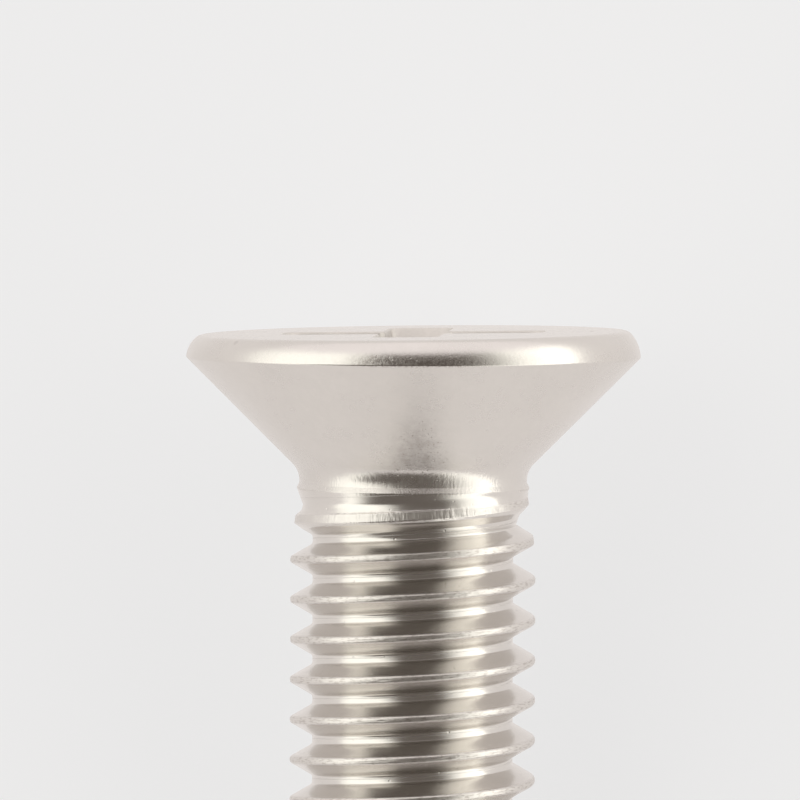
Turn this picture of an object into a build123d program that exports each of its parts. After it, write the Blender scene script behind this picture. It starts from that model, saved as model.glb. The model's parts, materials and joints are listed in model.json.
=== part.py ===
from build123d import *
import os
from math import atan2, ceil, cos, degrees, floor, radians, sin, tan

# Countersunk machine screw with a cross recess: 5 mm coarse thread, 12 mm long, 90 degree head.
# Lengths are in millimetres and angles in degrees. The screw is modelled upright, with the flat
# of its head at z = 0 and its tip below, and then laid on its side as it comes to rest.

# Whole screw, from the flat of the head to the tip
screw_length = 12.0

# Head: a flat disc over a narrow barrel-shaped rim and a cone
head_radius = 4.5
rim_height = 0.47
edge_inset = 0.33
edge_radius = 0.2
cone_angle = 90.0

# Neck: the plain blank between the cone and the thread
neck_radius = 2.27
neck_length = 0.4
neck_fillet = 0.47

# Thread: right-hand, with straight flanks
thread_radius = 2.45
thread_pitch = 0.8
thread_depth = 0.45
flank_angle = 60.0
crest_width = 0.12

# Run-out, measured from the end of the cone: the groove's floor sinks into the neck at a slope,
# and its middle first crosses the screw's right-hand side at full depth
crest_runout = 1.3
groove_start = 0.23
groove_slope = 19.8
first_groove = 0.98

# Tip
tip_chamfer = 0.5

# Cross recess
wing_span = 5.2
wing_width = 1.24
wing_draft = 5.75
wing_flare = 26.5
recess_depth = 2.9
recess_floor_angle = 140.0
recess_core_width = 1.9
recess_turn = -7.0

# Room by which a cutting or bounding shape passes what it cuts
clearance = 0.1

# Places that follow from the sizes, measured down from the flat of the head
head_height = rim_height + (head_radius - neck_radius) / tan(radians(cone_angle / 2))
neck_end = head_height + neck_length
groove_middle = head_height + first_groove
chamfer_start = screw_length - tip_chamfer

# Widths and radii that follow from the thread's sizes
root_radius = thread_radius - thread_depth
flank_height = thread_depth * tan(radians(flank_angle / 2))
root_width = thread_pitch - crest_width - 2 * flank_height


def turned(*corners):
    """A solid turned about the screw's axis from a half section with straight sides."""
    with BuildSketch(Plane.XZ) as section:
        with BuildLine():
            Polyline(*corners, close=True)
        make_face()
    return revolve(section.sketch, axis=Axis.Z)


def head_and_neck():
    """Head and neck, and the core under the run-out, turned from one half section.

    Below the neck the core narrows to a point inside the thread, so that it fills the last
    turn of the groove more and more: that is the groove's floor as it runs out to the neck.
    """
    flat_radius = head_radius - edge_inset
    edge_turn = radians(45)
    edge_end = (
        flat_radius + edge_radius * sin(edge_turn),
        edge_radius * (cos(edge_turn) - 1),
    )
    rim_foot = (head_radius, -rim_height)
    half_cone = radians(cone_angle / 2)
    fillet_reach = neck_fillet * tan(half_cone / 2)
    fillet_top = (
        neck_radius + fillet_reach * sin(half_cone),
        fillet_reach * cos(half_cone) - head_height,
    )
    fillet_foot = (neck_radius, -head_height - fillet_reach)
    core_start = head_height + groove_start
    core_point = core_start + neck_radius / tan(radians(groove_slope))
    with BuildSketch(Plane.XZ) as section:
        with BuildLine():
            Line((0, 0), (flat_radius, 0))
            TangentArc((flat_radius, 0), edge_end, tangent=(1, 0))
            TangentArc(edge_end, rim_foot, tangent=(cos(edge_turn), -sin(edge_turn)))
            Line(rim_foot, fillet_top)
            TangentArc(fillet_foot, fillet_top, tangent=(0, 1))
            Line(fillet_foot, (neck_radius, -core_start))
            Line((neck_radius, -core_start), (0, -core_point))
            Line((0, -core_point), (0, 0))
        make_face()
    return revolve(section.sketch, axis=Axis.Z)


def threaded_rod():
    """A rod with the full thread, longer than the screw, closed by a ramp and a step at each end.

    One pitch of the profile is the root, a flank, the crest and the other flank. Each of its
    corners goes round the axis on a helix, each stretch between two corners is a ruled strip
    one turn long, and the turns are stacked a pitch apart.
    The root's middle crosses the right-hand side at the first full groove.
    """
    corners = [
        (root_radius, 0),
        (root_radius, root_width),
        (thread_radius, root_width + flank_height),
        (thread_radius, root_width + flank_height + crest_width),
        (root_radius, thread_pitch),
    ]
    helices = [
        Edge.make_helix(thread_pitch, thread_pitch, radius, center=(0, 0, height)).edge()
        for radius, height in corners
    ]
    strips = [
        Face.make_surface_from_curves(lower, upper)
        for lower, upper in zip(helices[:-1], helices[1:])
    ]
    axis_edge = Edge.make_line((0, 0, 0), (0, 0, thread_pitch))
    ramp = Face.make_surface_from_curves(axis_edge, helices[0])
    outline = [(0, 0, 0)] + [(radius, 0, height) for radius, height in corners]
    step = Face(Wire.make_polygon(outline + [(0, 0, thread_pitch)], close=True))

    turns_to_tip = ceil((screw_length - groove_middle) / thread_pitch) + 1
    turns_to_head = ceil(first_groove / thread_pitch)
    turns = turns_to_tip + turns_to_head
    bottom = -groove_middle - root_width / 2 - turns_to_tip * thread_pitch
    faces = []
    for turn in range(turns):
        lift = Location((0, 0, bottom + turn * thread_pitch))
        faces += [strip.moved(lift) for strip in strips]
    for height in (bottom, bottom + turns * thread_pitch):
        lift = Location((0, 0, height))
        faces += [ramp.moved(lift), step.moved(lift)]
    return Solid(Shell(faces))


def thread():
    """The rod within the bar it is rolled on, which swells from the neck and ends in a chamfer."""
    swell = (thread_radius - neck_radius) / crest_runout
    beyond_crest = thread_radius + clearance
    bar = turned(
        (0, -head_height),
        (neck_radius - swell * neck_length, -head_height),
        (beyond_crest, -neck_end - crest_runout - clearance / swell),
        (beyond_crest, -chamfer_start + clearance),
        (thread_radius - tip_chamfer, -screw_length),
        (0, -screw_length),
    )
    return threaded_rod() & bar


def cross_recess():
    """Two drafted bars crossed, with a square between them that breaks the inner corners.

    A cone of the wings' flare bounds them outside, and a flat cone closes the bottom.
    """
    floor_radius = wing_span / 2 - recess_depth * tan(radians(wing_flare))
    point_depth = recess_depth + floor_radius / tan(radians(recess_floor_angle / 2))
    bar = extrude(Rectangle(2 * wing_span, wing_width), amount=-point_depth, taper=wing_draft)
    square = Rectangle(recess_core_width, recess_core_width).rotate(Axis.Z, 45)
    core = extrude(square, amount=-point_depth, taper=wing_draft)
    cross = bar + bar.rotate(Axis.Z, 90) + core
    bound = turned(
        (0, 0), (wing_span / 2, 0), (floor_radius, -recess_depth), (0, -point_depth)
    )
    return (cross & bound).rotate(Axis.Z, recess_turn)


def resting_tilt():
    """How far the axis dips towards the tip when the screw lies on its rim and its last crest.

    A crest crosses the underside a quarter of a pitch past each half turn of the groove, and
    the last one above the chamfer carries the screw.
    """
    first_crest = groove_middle + thread_pitch / 4
    whole_turns = floor((chamfer_start - crest_width / 2 - first_crest) / thread_pitch)
    last_crest = first_crest + whole_turns * thread_pitch + crest_width / 2
    return degrees(atan2(head_radius - thread_radius, last_crest - rim_height))


def laid_down(upright, towards_head):
    """The screw on its side on the ground, with its tip towards +X, centred over the origin."""
    lying = upright.moved(Plane((0, 0, 0), x_dir=(0, 1, 0), z_dir=towards_head).location)
    box = lying.bounding_box()
    seat = Vector(-box.center().X, -box.center().Y, -box.min.Z)
    return lying.moved(Location(seat)), seat


tilt = radians(resting_tilt())
towards_head = Vector(-cos(tilt), 0, sin(tilt))
upright_screw = (head_and_neck() + thread()) - cross_recess()
screw, head_centre = laid_down(upright_screw, towards_head)

os.makedirs("parts", exist_ok=True)
export_step(screw, "parts/machine_screw.step")
print("axis dips by", round(degrees(tilt), 4))
print("towards the head", towards_head)
print("centre of the flat", head_centre, "centre of the tip", head_centre - towards_head * screw_length)
print("volume", round(screw.volume, 3), "valid", screw.is_valid, "solids", len(screw.solids()))
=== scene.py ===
import json
from math import atan2, cos, pi, radians, sin, sqrt, tan

import bpy
import numpy as np
from mathutils import Matrix, Vector


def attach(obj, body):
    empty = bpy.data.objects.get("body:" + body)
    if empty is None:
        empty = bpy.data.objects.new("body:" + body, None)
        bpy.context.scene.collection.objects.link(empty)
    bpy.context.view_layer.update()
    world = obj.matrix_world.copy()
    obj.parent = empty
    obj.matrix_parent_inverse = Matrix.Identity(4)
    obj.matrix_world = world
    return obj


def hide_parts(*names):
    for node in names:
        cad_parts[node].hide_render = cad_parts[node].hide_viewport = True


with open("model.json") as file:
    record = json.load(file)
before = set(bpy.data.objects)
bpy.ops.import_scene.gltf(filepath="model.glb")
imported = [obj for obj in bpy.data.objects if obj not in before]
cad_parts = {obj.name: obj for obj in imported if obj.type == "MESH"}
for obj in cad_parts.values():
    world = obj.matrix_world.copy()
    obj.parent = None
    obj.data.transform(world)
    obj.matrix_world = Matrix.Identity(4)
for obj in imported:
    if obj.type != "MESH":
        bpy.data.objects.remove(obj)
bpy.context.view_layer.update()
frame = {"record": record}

# A countersunk machine screw, lying on its rim and its last crest. It is worked out upright, in
# millimetres: x to the right of the picture, y away from the viewer, z towards the head, and
# "down" is the distance below the flat of the head. Its place in the row comes from the mount
# on the head. The row is in metres.
MM = 0.001

# Sizes in millimetres and radians. They are the part's own or within 0.05 of them, except that
# the cross recess is turned by 3 degrees less, as the picture shows it.
LENGTH = 12.0
HEAD_RADIUS = 4.53
RIM_HEIGHT = 0.49
FLAT_RADIUS = 4.2
EDGE_RADIUS = 0.2
CONE_END = 2.75
NECK_RADIUS = 2.27
NECK_FILLET = 0.47
THREAD_RADIUS = 2.45
ROOT_RADIUS = 2.0
PITCH = 0.8
CREST_WIDTH = 0.11
FLANK_TILT = radians(30)
SWELL_START = 3.1
FULL_THREAD = 4.4
GROOVE_MIDDLE = 3.73
CHAMFER_START = 11.5
WING_REACH = 2.6
WING_HALF_WIDTH = 0.62
WING_DRAFT = radians(5.75)
WING_FLARE = radians(26.5)
CORE_HALF_WIDTH = 0.95
RECESS_DEPTH = 2.9
FLOOR_HALF_ANGLE = radians(70)
RECESS_TURN = radians(-4)

# Small forms that only the picture needs
MOUTH_ROUNDING = 0.045
CORNER_ROUNDING = 0.04
TIP_ROUNDING = 0.05
ROOT_ROUNDING = 0.08
CREST_ROUNDING = 0.09
SEAM_MIDDLE = 0.008
SEAM_WIDTH = 0.036
SEAM_DEPTH = 0.004
DENT_DEPTH = 0.006
DENT_THRESHOLD = (0.9, 2.2)
CREST_BAND = (0.12, 0.02)
LAND_UNEVENNESS = 0.004
LAND_END = 4.1
RUNOUT_START = 3.09
RUNOUT_SLOPE = radians(20)
LIP_HEIGHT = 0.05
FLARE_START = 2.985
HEAD_LEAN = radians(0.75)

# The mesh: samples of the recess's outline, which are the columns round the axis, how softly
# two shapes meet, how near the lip or the tip a point of the thread joins their rings, and
# where rings lie, as degrees round the mouth of the recess and shares of the way elsewhere
END_SAMPLES = 7
SIDE_SAMPLES = 16
CORE_SAMPLES = 14
COLUMNS = 4 * (2 * END_SAMPLES + 2 * SIDE_SAMPLES + CORE_SAMPLES)
SOFT = 0.012
NEAR = 0.002
LIP_BENDS = (72, 48, 24, 0)
FLAT_SPREAD = (0.02, 0.08, 0.2, 0.36, 0.52, 0.68, 0.82, 0.93, 0.985)
CONE_SHARES = (0.015, 0.05, 0.12, 0.22, 0.34, 0.46, 0.58, 0.7, 0.82, 0.92, 0.98)
FLARE_SHARES = (0, 0.06, 0.5, 0.94, 1)
TIP_SHARES = (0.97, 0.9, 0.7, 0.45, 0.2)

# Colours and roughness, and how far each noise is squeezed along x, y and z or along the
# thread and across it
STEEL_COLOUR = (0.665, 0.64, 0.61)
# The brown shows stains, and also painted shade in the pits, dents and nicks of the head
STAIN_AND_PAINTED_SHADE_COLOUR = (0.13, 0.085, 0.06)
HEAD_ROUGHNESS = 0.27
THREAD_ROUGHNESS = 0.22
CREST_ROUGHNESS = 0.34
RECESS_ROUGHNESS = 0.6
# The recess's colour is painted lighter than the steel: painted light that lifts the shade in it
RECESS_PAINTED_LIGHT = 1.08
AXIAL_STRETCH = (22.0, 22.0, 3.0)
DRAWN_STRETCH = (9.0, 9.0, 0.7)
LINE_STRETCH = (0.6, 22.0, 1.0)
DASH_STRETCH = (7.0, 30.0, 1.0)

# Single spots on the upright screw in millimetres: the centre, the stretch of each axis, and
# how far out the spot ends and is full
ROUGH_PATCH = ((0.1, -2.7, -2.5), (1.5, 1.0, 0.62), 1.15, 0.15)
RIM_FRONT = ((0.1, -4.5, -0.47), (1.0, 1.0, 1.0), 1.5, 0.7)
LEFT_DENT = ((-3.49, -2.62, -0.12), (1.0, 1.0, 1.0), 0.08, 0.03)
RIGHT_DENT = ((3.55, -0.28, 0.046), (1.0, 0.4, 1.0), 0.06, 0.03)
NECK_TINT = ((-0.55, -2.2, -2.9), (1.0, 0.6, 3.5), 0.6, 0.1)

# Where a finish fades in or out, in millimetres: down from the flat, out from the axis for the
# bar, and from the middle of the crest
RIM_CORNER_TOP = (0.2, 0.42)
RIM_CORNER_BOTTOM = (0.54, 0.49)
HOLLOW_TOP = (2.45, 2.7)
NECK_BOTTOM = (3.2, 3.1)
THREAD_TOP = (3.1, 3.4)
LAND_BOTTOM = (4.0, 3.7)
BAR_SURFACE = (2.29, 2.33)
CREST_SIDE = (0.1, 0.05)

# The floor and the room. An edge is a pair of angles round the axis, or of heights along it
# as shares of 1, between which a light fades.
FLOOR_REACH = 1.6
FLOOR_COLOUR = (0.835, 0.835, 0.84)
FLOOR_GLOW = (0.915, 0.915, 0.92)
REFLECTED_GLOW = (1.07, 1.02, 1.0)
GLOW_SHARE_SEEN = 0.75
GLOW_SHARE_REFLECTED = 0.8
SOFTBOX_COLOUR = (1.66, 1.64, 1.54)
DIM_COLOUR = (0.17, 0.149, 0.133)
ROOM_COLOUR = (1.195, 1.13, 1.12)
LEFT_SOFTBOX_EDGE = (radians(-13), radians(-40))
LEFT_SOFTBOX_LEAN = radians(34)
LEAN_EDGE = (-0.1, -0.4)
RIGHT_SOFTBOX_EDGE = (radians(29), radians(63))
FAR_LEFT_EDGE = (radians(-74), radians(-96))
FAR_LEFT_STRENGTH = 0.85
FAR_RIGHT_EDGE = (radians(60), radians(85))
FAR_RIGHT_GAIN = 0.36
HEAD_SIDE_EDGE = (0.57, 0.8)
TIP_SIDE_EDGE = (-0.9, -0.975)

# The camera
CAMERA_DISTANCE = 0.165
CAMERA_RISE = radians(2.47)
CAMERA_ROLL = radians(0.17)
PICTURE_WIDTH = 0.01595
PICTURE_DOWN = 1.346 * MM
PICTURE_LEFT = 0.266 * MM

around = np.arange(COLUMNS) * 2 * pi / COLUMNS
seeded = np.random.default_rng(8)


def smooth_step(low, high, value):
    """0 below low, 1 above high, and 3t^2 - 2t^3 between them."""
    t = np.clip((value - low) / (high - low), 0, 1)
    return t * t * (3 - 2 * t)


def soft_min(a, b):
    """The lower of a and b with a rounded corner: (a + b - sqrt((a - b)^2 + soft^2)) / 2."""
    return (a + b - np.sqrt((a - b) ** 2 + SOFT**2)) / 2


def soft_max(a, b):
    """The higher of a and b with a rounded corner."""
    return -soft_min(-a, -b)


def waves(along, across, count, highest_along, highest_across, whole=True):
    """An uneven surface: the sum of sin(n a + m b + phase) over random n and m, about -1 to 1.

    Where a is the angle round the axis, whole n make the surface meet itself after a turn.
    """
    n = seeded.uniform(1, highest_along, count)
    n = np.round(n) if whole else n
    m = seeded.uniform(-highest_across, highest_across, count)
    phase = seeded.uniform(0, 2 * pi, count)
    surface = np.zeros(np.broadcast(along, across).shape)
    for wave in range(count):
        surface += np.sin(n[wave] * along + m[wave] * across + phase[wave])
    return surface / sqrt(count)


def rounded_corner(before, corner, after, reach, steps):
    """A corner of a line replaced by the curve (1-t)^2 A + 2t(1-t) C + t^2 B, reach from C."""
    before, corner, after = (np.array(point, float) for point in (before, corner, after))
    start = corner + reach * (before - corner) / np.linalg.norm(before - corner)
    end = corner + reach * (after - corner) / np.linalg.norm(after - corner)
    t = np.linspace(0, 1, steps)[:, None]
    return (1 - t) ** 2 * start + 2 * t * (1 - t) * corner + t**2 * end


def arc(centre, radius, first_tilt, last_tilt, steps):
    """Points (r, down) = centre + radius (cos tilt, -sin tilt); a hollow arc has radius < 0."""
    tilt = np.linspace(first_tilt, last_tilt, steps)
    return np.stack([centre[0] + radius * np.cos(tilt), centre[1] - radius * np.sin(tilt)], axis=1)


def straight(start, end, steps):
    """Points between start and end, without both of them, evenly spaced."""
    t = np.linspace(0, 1, steps + 2)[1:-1, None]
    return (1 - t) * np.array(start) + t * np.array(end)


def turned(profile):
    """Rings of a turned shape: x = r cos a, y = r sin a, z = -down, one ring per point."""
    radius, down = profile[:, :1], profile[:, 1:]
    x, y = radius * np.cos(around), radius * np.sin(around)
    return np.stack(np.broadcast_arrays(x, y, -down), axis=2)


def recess_outline(depth):
    """The cross at each depth: x and y, with one row per depth and one column per angle.

    A quarter of the outline is half a wing's end, its side, the edge of the core square, the
    next wing's side and half its end. The ends are arcs about the axis, the rest is straight,
    and samples crowd at the corners: t - sin(2 pi t) / 10. Averaging neighbours rounds them.
    """
    reach = WING_REACH - depth * tan(WING_FLARE)
    wing = WING_HALF_WIDTH - depth * tan(WING_DRAFT)
    core = (CORE_HALF_WIDTH - depth * tan(WING_DRAFT)) * sqrt(2)
    side = np.sqrt(reach**2 - wing**2)
    inner = core - wing
    end_angle = np.arcsin(wing / reach)
    stretches = []
    for count, start, end in (
        (SIDE_SAMPLES, (side, wing), (inner, wing)),
        (CORE_SAMPLES, (inner, wing), (wing, inner)),
        (SIDE_SAMPLES, (wing, inner), (wing, side)),
    ):
        t = np.arange(count) / count
        t = t - np.sin(2 * pi * t) / 10
        stretches.append(((1 - t) * start[0] + t * end[0], (1 - t) * start[1] + t * end[1]))
    share = np.arange(END_SAMPLES) / END_SAMPLES
    first = end_angle * share
    last = pi / 2 - end_angle * (1 - share)
    stretches.insert(0, (reach * np.cos(first), reach * np.sin(first)))
    stretches.append((reach * np.cos(last), reach * np.sin(last)))
    x = np.concatenate([stretch[0] for stretch in stretches], axis=1)
    y = np.concatenate([stretch[1] for stretch in stretches], axis=1)
    outline = np.concatenate([x + 1j * y, (x + 1j * y) * 1j, -x - 1j * y, (y - 1j * x)], axis=1)
    for _ in range(6):
        outline = (np.roll(outline, 1, axis=1) + 2 * outline + np.roll(outline, -1, axis=1)) / 4
    return outline * np.exp(1j * RECESS_TURN)


def recess_rings():
    """Floor cone, drafted walls and rounded mouth of the cross recess, from the axis outwards.

    The walls end where the outline meets the floor, depth = 2.9 + (1.154 - r) / tan 70.
    The mouth is a quarter round: the outline moved out by c (1 - sin b) at depth c (1 - cos b),
    where c is the rounding of the mouth.
    """
    floor_radius = WING_REACH - RECESS_DEPTH * tan(WING_FLARE)
    fall = np.linspace(0, 1, 5)[1:, None]
    floor = fall * recess_outline(np.array([[RECESS_DEPTH]]))
    floor_depth = RECESS_DEPTH + (floor_radius - np.abs(floor)) / tan(FLOOR_HALF_ANGLE)
    top = recess_outline(np.array([[MOUTH_ROUNDING]]))
    rise = np.linspace(0, 1, 12)[1:, None]
    wall = floor[-1] * (1 - rise) + top * rise
    wall_depth = floor_depth[-1] * (1 - rise) + MOUTH_ROUNDING * rise
    mouth = recess_outline(np.array([[0.0]]))
    outwards = 1j * (np.roll(mouth, 1, axis=1) - np.roll(mouth, -1, axis=1))
    bend = np.radians(LIP_BENDS)[:, None]
    lip = mouth + outwards / np.abs(outwards) * MOUTH_ROUNDING * (1 - np.sin(bend))
    lip_depth = MOUTH_ROUNDING * (1 - np.cos(bend)) * np.ones(COLUMNS)
    plane = np.concatenate([floor, wall, lip])
    depth = np.concatenate([floor_depth, wall_depth, lip_depth])
    return np.stack([plane.real, plane.imag, -depth], axis=2), lip[-1]


def flat_rings(mouth):
    """The flat of the head: points spread from the recess's mouth to the circle at its edge."""
    spread = np.array(FLAT_SPREAD)[:, None]
    plane = mouth * (1 - spread) + FLAT_RADIUS * np.exp(1j * around) * spread
    return np.stack([plane.real, plane.imag, np.zeros(plane.shape)], axis=2)


def head_profile():
    """Half section of the head from the edge of the flat to the neck, as (r, down) points.

    Two arcs make the rim: a small one of 45 degrees and the barrel. The barrel ends a little
    before the corner with the cone, which a third arc rounds. A hollow arc joins the cone and
    the neck.
    """
    barrel_start = np.array(
        [FLAT_RADIUS + EDGE_RADIUS * sin(pi / 4), EDGE_RADIUS * (1 - cos(pi / 4))]
    )
    corner = np.array([HEAD_RADIUS, RIM_HEIGHT])
    chord = corner - barrel_start
    half_turn = atan2(chord[1], chord[0]) - pi / 4
    barrel_radius = np.hypot(*chord) / (2 * sin(half_turn))
    barrel_centre = barrel_start + barrel_radius * np.array([-1, 1]) / sqrt(2)
    last_tilt = pi / 4 - 2 * half_turn
    corner_reach = CORNER_ROUNDING * tan((last_tilt + pi / 4) / 2)
    corner_centre = corner + (corner_reach * np.array([-1, 1]) - CORNER_ROUNDING) / sqrt(2)
    barrel_end = last_tilt + 1.3 * corner_reach / barrel_radius
    fillet_centre = (NECK_RADIUS + NECK_FILLET, CONE_END + NECK_FILLET * tan(pi / 8))
    corner_arc = arc(corner_centre, CORNER_ROUNDING, last_tilt, -pi / 4, 4)
    fillet = arc(fillet_centre, -NECK_FILLET, -pi / 4, 0, 9)
    cone_start, cone_end = corner_arc[-1], fillet[0]
    shares = np.array(CONE_SHARES)[:, None]
    return np.concatenate(
        [
            arc((FLAT_RADIUS, EDGE_RADIUS), EDGE_RADIUS, pi / 2, pi / 4, 5)[:-1],
            arc(barrel_centre, barrel_radius, pi / 4, barrel_end, 10),
            corner_arc,
            cone_start * (1 - shares) + cone_end * shares,
            fillet,
            [(NECK_RADIUS, fillet_centre[1] + 0.01), (NECK_RADIUS, fillet_centre[1] + 0.02)],
        ]
    )


def flare_rings():
    """The flare from the neck to the lip of the run-out: r = neck + lip t, t from 0 to 1."""
    t = np.array(FLARE_SHARES)
    radius = NECK_RADIUS + LIP_HEIGHT * t
    return turned(np.stack([radius, FLARE_START + t * (RUNOUT_START - FLARE_START)], axis=1))


def groove_profile():
    """One pitch of the thread from the middle of one root to the next, as (height, r) points.

    Straight flanks join a rounded root and a rounded crest. The crest has more points on the
    side of the tip, where the seam is.
    """
    flank = (THREAD_RADIUS - ROOT_RADIUS) * tan(FLANK_TILT)
    crest = PITCH / 2 - CREST_WIDTH / 2
    root = crest - flank
    root_corner = rounded_corner(
        (0, ROOT_RADIUS), (root, ROOT_RADIUS), (crest, THREAD_RADIUS),
        ROOT_ROUNDING * tan(pi / 6), 5,
    )
    sides = []
    for steps in (5, 8):
        crest_corner = rounded_corner(
            (root, ROOT_RADIUS), (crest, THREAD_RADIUS), (PITCH / 2, THREAD_RADIUS),
            CREST_ROUNDING * tan(pi / 6), steps,
        )
        flank_point = straight(root_corner[-1], crest_corner[0], 1)
        sides.append(np.concatenate([root_corner, flank_point, crest_corner]))
    return np.concatenate(
        [
            [(0, ROOT_RADIUS)],
            sides[0],
            [(PITCH / 2, THREAD_RADIUS)],
            sides[1][::-1] * (-1, 1) + (PITCH, 0),
        ]
    )


def thread_rings(first_down, last_down):
    """The thread as rings that climb with the helix, with their places on it.

    A point of the profile at height h in turn k lies at down = middle + pitch (k - a / 2 pi) + h,
    held between the lip and the tip. Its radius is the profile's, less the seam and dents of
    the crest. It is no more than the bar's, which swells from the neck, is uneven on the first
    land and has the chamfer. It is no less than the run-out's, which slopes from the lip:
    neck + lip - tan 20 (down - 3.09).
    """
    profile = groove_profile()
    turns = np.arange(-1, np.ceil((last_down - GROOVE_MIDDLE) / PITCH) + 2)
    height = (turns[:, None] * PITCH + profile[:, 0]).ravel()[:, None]
    radius = np.tile(profile[:, 1], len(turns))[:, None]
    from_crest = np.tile(profile[:, 0] - PITCH / 2, len(turns))[:, None]
    run = around / (2 * pi) - np.repeat(turns, len(profile))[:, None]
    down = GROOVE_MIDDLE + height - PITCH * around / (2 * pi)
    above, below = down < first_down + NEAR, down > last_down - NEAR
    down = np.clip(down, first_down, last_down)

    along = 2 * pi * run
    uneven = waves(along, 0, 24, highest_along=60, highest_across=1, whole=False)
    seam_depth = SEAM_DEPTH * np.clip(1 + uneven, 0, 2.5)
    seam = np.exp(-(((from_crest - SEAM_MIDDLE) / (SEAM_WIDTH / 2)) ** 2))
    dents = waves(along, 0, 30, highest_along=70, highest_across=1, whole=False)
    dents = smooth_step(*DENT_THRESHOLD, dents) * smooth_step(*CREST_BAND, np.abs(from_crest))
    radius = radius - seam * seam_depth - dents * DENT_DEPTH

    bar = NECK_RADIUS + (down - SWELL_START) * (THREAD_RADIUS - NECK_RADIUS) / (
        FULL_THREAD - SWELL_START
    )
    land = smooth_step(0.0, 0.05, radius - bar) * smooth_step(LAND_END, LAND_END - 0.5, down)
    ripples = waves(around, down, 40, highest_along=70, highest_across=30)
    bar = bar - land * LAND_UNEVENNESS * np.abs(ripples)
    chamfer = THREAD_RADIUS - (down - CHAMFER_START)
    floor = NECK_RADIUS + LIP_HEIGHT - tan(RUNOUT_SLOPE) * (down - RUNOUT_START)
    shape = soft_max(soft_min(soft_min(radius, bar), chamfer), floor)
    rings = np.stack([shape * np.cos(around), shape * np.sin(around), -down], axis=2)
    lay = np.stack(np.broadcast_arrays(along * THREAD_RADIUS, from_crest, radius * 0), axis=2)
    return rings, lay, above, below, len(profile)


def tip_profile(radius):
    """The rounded edge and the face of the tip, as (r, down) points towards the axis."""
    bend = np.linspace(0, pi / 2, 5)
    edge_radius = radius - TIP_ROUNDING * (1 - np.cos(bend))
    edge_down = LENGTH - TIP_ROUNDING * (1 - np.sin(bend))
    face_radius = np.array(TIP_SHARES) * edge_radius[-1]
    face_down = np.full(len(TIP_SHARES), LENGTH)
    return np.stack(
        [np.append(edge_radius, face_radius), np.append(edge_down, face_down)], axis=1
    )


def leaning(rings):
    """Rings of the head, whose flat leans a little to one side: z + x tan(lean) at the flat.

    The lean fades to nothing at the corner between the rim and the cone.
    """
    share = np.clip(1 + rings[:, :, 2:] / RIM_HEIGHT, 0, 1)
    return rings + rings[:, :, :1] * tan(HEAD_LEAN) * share * np.array([0, 0, 1])


def screw_mesh():
    """The whole screw as one closed sheet of rings from the recess's floor to the tip.

    Returns the points, the triangles, a material number for each triangle, and each point's
    place along and across the thread. Ring by ring, column by column, two triangles fill each
    gap. After a full turn a ring of the thread meets the ring one pitch above it. Points held
    at the neck or the tip are the points of the ring there, and triangles that shrink to a
    line are left out.
    """
    recess, mouth = recess_rings()
    flat = flat_rings(mouth)
    head = np.concatenate([turned(head_profile()), flare_rings()])
    tip = turned(tip_profile(ROOT_RADIUS))
    thread, lay, above, below, pitch_rows = thread_rings(RUNOUT_START, LENGTH - TIP_ROUNDING)

    floor_radius = WING_REACH - RECESS_DEPTH * tan(WING_FLARE)
    floor_depth = RECESS_DEPTH + floor_radius / tan(FLOOR_HALF_ANGLE)
    blocks = [leaning(recess), leaning(flat), leaning(head), thread, tip]
    head_index, thread_index, tip_index = 2, 3, 4
    floor_pole, tip_pole = [(0, 0, -floor_depth)], [(0, 0, -LENGTH)]
    points = np.concatenate([floor_pole, *(block.reshape(-1, 3) for block in blocks), tip_pole])
    places = np.zeros(points.shape)
    starts = np.cumsum([1] + [block.shape[0] * COLUMNS for block in blocks])
    places[starts[thread_index]:starts[tip_index]] = lay.reshape(-1, 3)

    grids = [
        start + np.arange(block.shape[0] * COLUMNS).reshape(-1, COLUMNS)
        for start, block in zip(starts, blocks)
    ]
    lip_ring, tip_ring = grids[head_index][-1], grids[tip_index][0]
    thread_grid = np.where(above, lip_ring, np.where(below, tip_ring, grids[thread_index]))
    grids[thread_index] = thread_grid
    wrapped = [np.concatenate([grid, grid[:, :1]], axis=1) for grid in grids]
    wrapped[thread_index][pitch_rows:, -1] = thread_grid[:-pitch_rows, 0]
    wrapped[thread_index][:pitch_rows, -1] = lip_ring[0]
    pole = np.zeros((1, COLUMNS + 1), int)
    grid = np.concatenate([pole] + wrapped + [pole + len(points) - 1])

    a, b = grid[:-1, :-1], grid[:-1, 1:]
    d, c = grid[1:, :-1], grid[1:, 1:]
    faces = np.stack([np.stack([a, d, c], axis=2), np.stack([a, c, b], axis=2)], axis=2)
    kinds = np.repeat(
        np.repeat([0, 1, 2, 1], [len(recess), len(flat) + len(head), len(thread), len(tip) + 1]),
        2 * COLUMNS,
    )
    faces = faces.reshape(-1, 3)
    whole = (
        (faces[:, 0] != faces[:, 1]) & (faces[:, 1] != faces[:, 2]) & (faces[:, 2] != faces[:, 0])
    )
    used, faces = np.unique(faces[whole], return_inverse=True)
    return points[used], faces.reshape(-1, 3), kinds[whole], places[used]


def laid_down():
    """The turn and the place that lay the upright screw down in the row, from the mount."""
    mount = next(m for m in frame["record"]["mounts"] if m["name"] == "head_face")
    up = Vector(mount["axis"]).normalized()
    across = Vector((0, 1, 0))
    turn = Matrix([across, up.cross(across), up]).transposed()
    return turn, Vector(mount["pos_m"])


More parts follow.
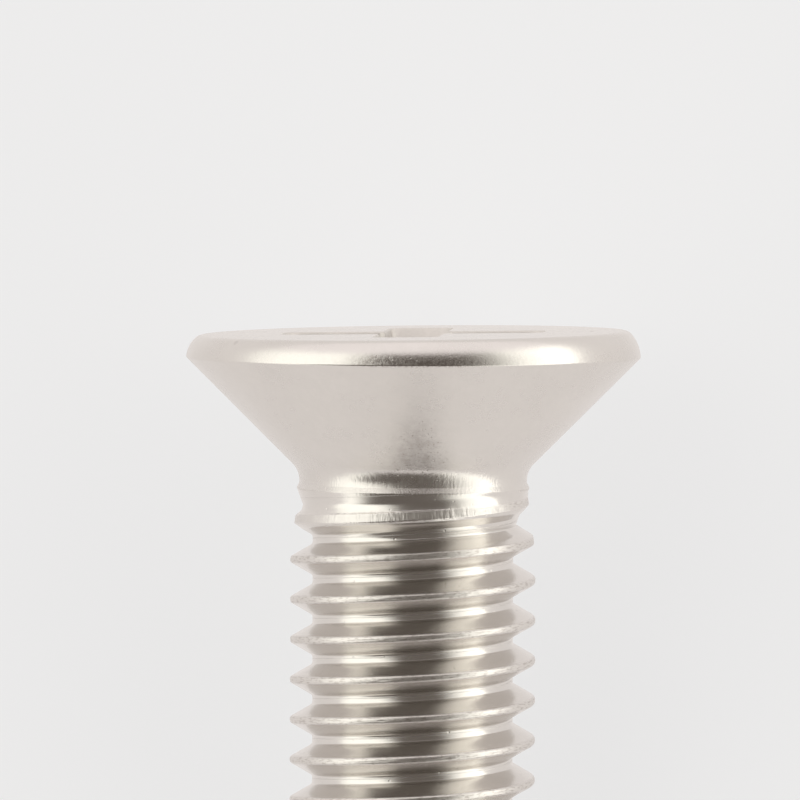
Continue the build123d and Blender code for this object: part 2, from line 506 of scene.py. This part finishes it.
def screw_piece():
    """The fine screw as an object at the origin, with its place in its mesh."""
    points, faces, kinds, places = screw_mesh()
    turn, seat = laid_down()
    placed = points * MM @ np.array(turn).T + np.array(seat)
    mesh = bpy.data.meshes.new("fine_screw")
    mesh.from_pydata(placed, [], faces)
    mesh.polygons.foreach_set("material_index", kinds)
    mesh.polygons.foreach_set("use_smooth", np.ones(len(faces), bool))
    lay = mesh.attributes.new("thread_lay", "FLOAT_VECTOR", "POINT")
    lay.data.foreach_set("vector", places.ravel())
    mesh.update()
    piece = bpy.data.objects.new("fine_screw", mesh)
    bpy.context.collection.objects.link(piece)
    return piece


def add(tree, kind, inputs=None, **settings):
    """A node of that kind with its settings, and a value or a link for each named input."""
    node = tree.nodes.new(kind)
    for name, value in settings.items():
        setattr(node, name, value)
    for name, value in (inputs or {}).items():
        if isinstance(value, bpy.types.NodeSocket):
            tree.links.new(value, node.inputs[name])
        else:
            node.inputs[name].default_value = value
    return node


def maths(tree, operation, *values, clamp=False):
    """The output of a Math node, whose inputs are the values in order."""
    inputs = dict(enumerate(values))
    return add(tree, "ShaderNodeMath", inputs, operation=operation, use_clamp=clamp).outputs[0]


def product(tree, *values):
    """The product of the values."""
    result = values[0]
    for value in values[1:]:
        result = maths(tree, "MULTIPLY", result, value)
    return result


def total(tree, *values):
    """The sum of the values."""
    result = values[0]
    for value in values[1:]:
        result = maths(tree, "ADD", result, value)
    return result


def vector_maths(tree, operation, first, second):
    """The output of a Vector Math node of two vectors."""
    inputs = {0: first, 1: second}
    return add(tree, "ShaderNodeVectorMath", inputs, operation=operation).outputs[0]


def scaled(tree, vector, factor):
    """A vector times a value."""
    inputs = {0: vector, "Scale": factor}
    return add(tree, "ShaderNodeVectorMath", inputs, operation="SCALE").outputs[0]


def blended(tree, share, first, second):
    """The first colour, or the second where the share is 1."""
    inputs = {0: share, 6: first, 7: second}
    return add(tree, "ShaderNodeMix", inputs, data_type="RGBA").outputs[2]


def ramp(tree, value, low, high, to_low=0.0, to_high=1.0):
    """The value carried smoothly from the range low..high to to_low..to_high."""
    inputs = {0: value, 1: low, 2: high, 3: to_low, 4: to_high}
    node = add(tree, "ShaderNodeMapRange", inputs, interpolation_type="SMOOTHSTEP")
    return node.outputs[0]


def noise(tree, position, scale, detail=2.0, roughness=0.5):
    """A noise value of about 0.5 at a position."""
    inputs = {"Vector": position, "Scale": scale, "Detail": detail, "Roughness": roughness}
    return add(tree, "ShaderNodeTexNoise", inputs).outputs[0]


def new_group(name, inputs, outputs):
    """A shader node group with its named float or vector sockets, and its two ends."""
    kinds = {"value": "NodeSocketFloat", "vector": "NodeSocketVector"}
    group = bpy.data.node_groups.new(name, "ShaderNodeTree")
    for socket, kind in inputs.items():
        group.interface.new_socket(name=socket, in_out="INPUT", socket_type=kinds[kind])
    for socket, kind in outputs.items():
        group.interface.new_socket(name=socket, in_out="OUTPUT", socket_type=kinds[kind])
    start = group.nodes.new("NodeGroupInput").outputs
    end = group.nodes.new("NodeGroupOutput").inputs
    return group, start, end


def use_group(tree, group, **values):
    """The outputs of a group placed in a tree, with its inputs set or linked."""
    return add(tree, "ShaderNodeGroup", values, node_tree=group).outputs


def upright_group():
    """Group: where a point is on the upright screw, in millimetres, how far down, how far out."""
    outputs = {"Position": "vector", "Down": "value", "Out": "value"}
    group, _, end = new_group("upright_place", {}, outputs)
    turn, seat = laid_down()
    back = turn.transposed()
    inputs = {
        "Vector": add(group, "ShaderNodeTexCoord").outputs["Object"],
        "Location": -(back @ seat) / MM,
        "Rotation": back.to_euler(),
        "Scale": (1 / MM,) * 3,
    }
    position = add(group, "ShaderNodeMapping", inputs).outputs[0]
    parts = add(group, "ShaderNodeSeparateXYZ", {0: position}).outputs
    squares = total(group, product(group, parts[0], parts[0]), product(group, parts[1], parts[1]))
    group.links.new(position, end["Position"])
    group.links.new(product(group, parts[2], -1.0), end["Down"])
    group.links.new(maths(group, "SQRT", squares), end["Out"])
    return group


def mottle_group():
    """Group: uneven tumbled steel, as a factor for its colour and one for its roughness."""
    group, start, end = new_group(
        "mottled_steel",
        {"Position": "vector", "Size": "value", "Strength": "value"},
        {"Shade": "value", "Gloss": "value"},
    )
    scale = maths(group, "DIVIDE", 1.0, start["Size"])
    clouds = noise(group, start["Position"], scale, 3.0, 0.6)
    fine = noise(group, start["Position"], product(group, scale, 9.0), 2.0)
    both = total(group, product(group, clouds, 0.65), product(group, fine, 0.35))
    swing = product(group, maths(group, "SUBTRACT", both, 0.5), start["Strength"])
    group.links.new(total(group, 1.0, swing), end["Shade"])
    group.links.new(maths(group, "SUBTRACT", 1.0, product(group, swing, 1.5)), end["Gloss"])
    return group


def pits_group():
    """Group: small pits in the steel, 0 on the surface and 1 at the bottom of a pit.

    A pit is the middle of a Voronoi cell, and only cells whose random value is above about
    one minus the density have one.
    """
    group, start, end = new_group(
        "pits",
        {"Position": "vector", "Size": "value", "Density": "value"},
        {"Pit": "value"},
    )
    scale = maths(group, "DIVIDE", 1.0, start["Size"])
    inputs = {"Vector": start["Position"], "Scale": scale}
    cells = add(group, "ShaderNodeTexVoronoi", inputs).outputs
    chance = add(group, "ShaderNodeSeparateColor", {0: cells["Color"]}).outputs[0]
    chosen = ramp(group, total(group, chance, start["Density"]), 0.95, 1.05)
    hollow = ramp(group, cells["Distance"], 0.34, 0.08)
    group.links.new(product(group, chosen, hollow), end["Pit"])
    return group


def steel_material(name, finish):
    """A bright stainless steel whose finish function gives what changes over the surface.

    The finish gets the tree and the outputs of the upright place, and returns a factor for
    the colour, a share of brown, a roughness and a height in hundredths of a millimetre. The
    brown shows stains, and on the head also painted shade in pits, dents and nicks. The colour
    factor of the recess holds painted light.
    """
    material = bpy.data.materials.new(name)
    material.use_nodes = True
    tree = material.node_tree
    shader = tree.nodes["Principled BSDF"]
    shader.inputs["Metallic"].default_value = 1.0
    shade, brown_share, roughness, height = finish(tree, use_group(tree, groups["upright"]))
    colour = blended(tree, brown_share, scaled(tree, STEEL_COLOUR, shade), (*STAIN_AND_PAINTED_SHADE_COLOUR, 1))
    tree.links.new(colour, shader.inputs["Base Color"])
    tree.links.new(roughness, shader.inputs["Roughness"])
    inputs = {"Strength": 1.0, "Distance": 0.01 * MM, "Height": height}
    bump = add(tree, "ShaderNodeBump", inputs).outputs[0]
    tree.links.new(bump, shader.inputs["Normal"])
    return material


def spot(tree, place, centre, stretch, end, full):
    """A soft spot: 0 from its end outwards and 1 where it is full, with each axis stretched."""
    offset = vector_maths(tree, "SUBTRACT", place["Position"], centre)
    offset = vector_maths(tree, "MULTIPLY", offset, stretch)
    inputs = {0: offset}
    distance = add(tree, "ShaderNodeVectorMath", inputs, operation="LENGTH").outputs["Value"]
    return ramp(tree, distance, end, full)


def axial_marks(tree, place):
    """Fine marks that run along the axis: a noise squeezed round it."""
    squeezed = vector_maths(tree, "MULTIPLY", place["Position"], AXIAL_STRETCH)
    return noise(tree, squeezed, 1.0, 2.0, 0.6)


def head_finish(tree, place):
    """Head: fine tumbled grain and scattered pits.

    There are more pits and dull clouds on the cone in front, and brown specks and nicks along
    the lower corner of the rim. The pits, the dents and the specks are darkened brown with
    painted shade. The hollow by the neck has marks along the axis and a faint brown tint.
    """
    position, down = place["Position"], place["Down"]
    mottle = use_group(tree, groups["mottle"], Position=position, Size=1.3, Strength=0.14)
    rough_patch = spot(tree, place, *ROUGH_PATCH)
    below_top = ramp(tree, down, *RIM_CORNER_TOP)
    above_bottom = ramp(tree, down, *RIM_CORNER_BOTTOM)
    nicked = total(tree, 0.06, spot(tree, place, *RIM_FRONT))
    nicked = product(tree, nicked, below_top, above_bottom)
    density = total(tree, product(tree, rough_patch, 0.55), product(tree, nicked, 0.2))
    pits = use_group(tree, groups["pits"], Position=position, Size=0.06, Density=density)["Pit"]
    left_dent = spot(tree, place, *LEFT_DENT)
    right_dent = spot(tree, place, *RIGHT_DENT)
    clouds = ramp(tree, noise(tree, position, 6.0, 4.0, 0.7), 0.42, 0.62)
    specks = noise(tree, position, 20.0, 3.0, 0.7)
    in_hollow = ramp(tree, down, *HOLLOW_TOP)
    relief = total(
        tree,
        product(tree, noise(tree, position, 16.0, 3.0, 0.6), 0.18),
        product(tree, pits, -0.25),
        product(tree, left_dent, -0.2),
        product(tree, right_dent, -1.0),
        product(tree, specks, nicked, 0.4),
        product(tree, axial_marks(tree, place), in_hollow, 0.4),
    )
    # Brown: painted shade in pits, dents and rim nicks, plus clouds on the cone and a neck tint
    brown_share = total(
        tree,
        product(tree, pits, 0.25),
        product(tree, left_dent, 0.12),
        product(tree, right_dent, 0.7),
        product(tree, ramp(tree, specks, 0.46, 0.56), nicked, 0.4),
        product(tree, clouds, rough_patch, 0.2),
        product(tree, spot(tree, place, *NECK_TINT), 0.16),
    )
    return mottle["Shade"], brown_share, product(tree, mottle["Gloss"], HEAD_ROUGHNESS), relief


def thread_finish(tree, place):
    """Thread: rolled steel with faint lines along the helix.

    Its crests are rough with tiny folds and dark dashes, and the first land has marks along
    the axis.
    """
    position, down = place["Position"], place["Down"]
    mottle = use_group(tree, groups["mottle"], Position=position, Size=0.8, Strength=0.14)
    lay = add(tree, "ShaderNodeAttribute", attribute_name="thread_lay").outputs["Vector"]
    lines, dashes = (
        noise(tree, vector_maths(tree, "MULTIPLY", lay, stretch), 1.0, 3.0, 0.6)
        for stretch in (LINE_STRETCH, DASH_STRETCH)
    )
    folds = noise(tree, position, 20.0, 2.0, 0.7)
    pits = use_group(tree, groups["pits"], Position=position, Size=0.09, Density=0.04)["Pit"]
    from_crest = add(tree, "ShaderNodeSeparateXYZ", {0: lay}).outputs[1]
    on_crest = ramp(tree, maths(tree, "ABSOLUTE", from_crest), *CREST_SIDE)
    past_neck = ramp(tree, down, *THREAD_TOP)
    on_bar = ramp(tree, place["Out"], *BAR_SURFACE)
    on_land = product(tree, on_bar, past_neck, ramp(tree, down, *LAND_BOTTOM))
    by_neck = ramp(tree, down, *NECK_BOTTOM)
    marked = maths(tree, "MAXIMUM", on_land, product(tree, by_neck, 0.3))
    rough = total(tree, product(tree, on_crest, 0.4), product(tree, on_land, -0.2))
    past_land = maths(tree, "SUBTRACT", on_crest, on_land, clamp=True)
    relief = total(
        tree,
        product(tree, lines, past_neck, 0.2),
        product(tree, pits, -0.5),
        product(tree, folds, rough),
        product(tree, axial_marks(tree, place), marked, 1.1),
    )
    brown_share = product(tree, ramp(tree, dashes, 0.5, 0.62), past_land, 0.3)
    roughness = ramp(tree, on_crest, 0.0, 1.0, THREAD_ROUGHNESS, CREST_ROUGHNESS)
    return mottle["Shade"], brown_share, product(tree, mottle["Gloss"], roughness), relief


def recess_finish(tree, place):
    """Recess: punched steel, a little duller, with marks drawn down its walls."""
    position = place["Position"]
    mottle = use_group(tree, groups["mottle"], Position=position, Size=0.5, Strength=0.2)
    marks = noise(tree, vector_maths(tree, "MULTIPLY", position, DRAWN_STRETCH), 1.0, 3.0)
    # Painted light: the recess's colour is lifted above the steel's to lighten the shade inside
    shade = product(tree, mottle["Shade"], RECESS_PAINTED_LIGHT)
    roughness = product(tree, mottle["Gloss"], RECESS_ROUGHNESS)
    return shade, product(tree, marks, 0.06), roughness, product(tree, marks, 0.4)


groups = {"upright": upright_group(), "mottle": mottle_group(), "pits": pits_group()}
screw = screw_piece()
for material in (
    steel_material("punched_steel", recess_finish),
    steel_material("headed_steel", head_finish),
    steel_material("rolled_steel", thread_finish),
):
    screw.data.materials.append(material)
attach(screw, "root")
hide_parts("machine_screw")

turn, head_centre = laid_down()
to_right, to_back, to_head = turn.col[0], turn.col[1], turn.col[2]
to_viewer = -to_back


def pale_floor():
    """A pale floor. The viewer and the steel see it glow a little, and it keeps the shadow."""
    mesh = bpy.data.meshes.new("floor")
    corners = np.array([(-1, -1), (1, -1), (1, 1), (-1, 1)]) * FLOOR_REACH
    mesh.from_pydata(np.column_stack([corners, np.zeros(4)]), [], [(0, 1, 2, 3)])
    floor = bpy.data.objects.new("floor", mesh)
    bpy.context.collection.objects.link(floor)
    material = bpy.data.materials.new("pale_floor")
    material.use_nodes = True
    tree = material.node_tree
    tree.nodes.remove(tree.nodes["Principled BSDF"])
    path = add(tree, "ShaderNodeLightPath").outputs
    seen = product(tree, path["Is Camera Ray"], GLOW_SHARE_SEEN)
    reflected = product(tree, path["Is Glossy Ray"], GLOW_SHARE_REFLECTED)
    share = maths(tree, "MAXIMUM", seen, reflected)
    matt = add(tree, "ShaderNodeBsdfDiffuse", {"Color": (*FLOOR_COLOUR, 1)}).outputs[0]
    glow_colour = blended(tree, path["Is Glossy Ray"], (*FLOOR_GLOW, 1), (*REFLECTED_GLOW, 1))
    glow = add(tree, "ShaderNodeEmission", {"Color": glow_colour}).outputs[0]
    mixed = add(tree, "ShaderNodeMixShader", {0: share, 1: matt, 2: glow}).outputs[0]
    tree.links.new(mixed, tree.nodes["Material Output"].inputs["Surface"])
    mesh.materials.append(material)


def studio_world():
    """The room: a long softbox at each side, bright beyond both ends, dim and warm between.

    The angle round the screw's axis is atan2(right, viewer), which is 0 towards the viewer.
    The softboxes have soft edges. The left one is weaker far from the viewer, the right one
    brighter, and the left one's edge is further round towards the tip. The viewer sees the
    room as pale as the floor.
    """
    world = bpy.data.worlds.new("studio")
    world.use_nodes = True
    tree = world.node_tree
    direction = add(tree, "ShaderNodeTexCoord").outputs["Generated"]
    along, right, viewer = (
        add(tree, "ShaderNodeVectorMath", {0: direction, 1: axis}, operation="DOT_PRODUCT")
        .outputs["Value"]
        for axis in (to_head, to_right, to_viewer)
    )
    angle = maths(tree, "ARCTAN2", right, viewer)
    leaning_angle = total(tree, angle, ramp(tree, along, *LEAN_EDGE, 0.0, LEFT_SOFTBOX_LEAN))
    left_side = ramp(tree, leaning_angle, *LEFT_SOFTBOX_EDGE)
    side = maths(tree, "MAXIMUM", left_side, ramp(tree, angle, *RIGHT_SOFTBOX_EDGE))
    far_left = ramp(tree, angle, *FAR_LEFT_EDGE, 1.0, FAR_LEFT_STRENGTH)
    far_right = ramp(tree, angle, *FAR_RIGHT_EDGE, 0.0, FAR_RIGHT_GAIN)
    softbox = scaled(tree, SOFTBOX_COLOUR, total(tree, far_left, far_right))
    head_side, tip_side = (ramp(tree, along, *edge) for edge in (HEAD_SIDE_EDGE, TIP_SIDE_EDGE))
    bright = maths(tree, "MAXIMUM", head_side, tip_side)
    room = (*DIM_COLOUR, 1)
    seen = add(tree, "ShaderNodeLightPath").outputs["Is Camera Ray"]
    for share, brighter in ((side, softbox), (bright, (*ROOM_COLOUR, 1)), (seen, (*FLOOR_GLOW, 1))):
        room = blended(tree, share, room, brighter)
    background = tree.nodes["Background"]
    tree.links.new(room, background.inputs["Color"])
    bpy.context.scene.world = world


def camera():
    """A long lens, a little to the head's side of square to the axis.

    Its picture is PICTURE_WIDTH wide at the axis.
    """
    lens = bpy.data.cameras.new("camera")
    lens.sensor_width = 36.0
    lens.lens = lens.sensor_width * CAMERA_DISTANCE / PICTURE_WIDTH
    lens.clip_start, lens.clip_end = 0.01, 10.0
    towards = to_viewer * cos(CAMERA_RISE) + to_head * sin(CAMERA_RISE)
    up = to_head * cos(CAMERA_RISE) - to_viewer * sin(CAMERA_RISE)
    up = Matrix.Rotation(CAMERA_ROLL, 3, towards) @ up
    target = head_centre - to_head * PICTURE_DOWN - to_right * PICTURE_LEFT
    placed = bpy.data.objects.new("camera", lens)
    facing = Matrix([up.cross(towards), up, towards]).transposed().to_4x4()
    placed.matrix_world = Matrix.Translation(target + towards * CAMERA_DISTANCE) @ facing
    bpy.context.collection.objects.link(placed)
    bpy.context.scene.camera = placed


pale_floor()
studio_world()
camera()
bpy.context.scene.view_settings.view_transform = "Standard"
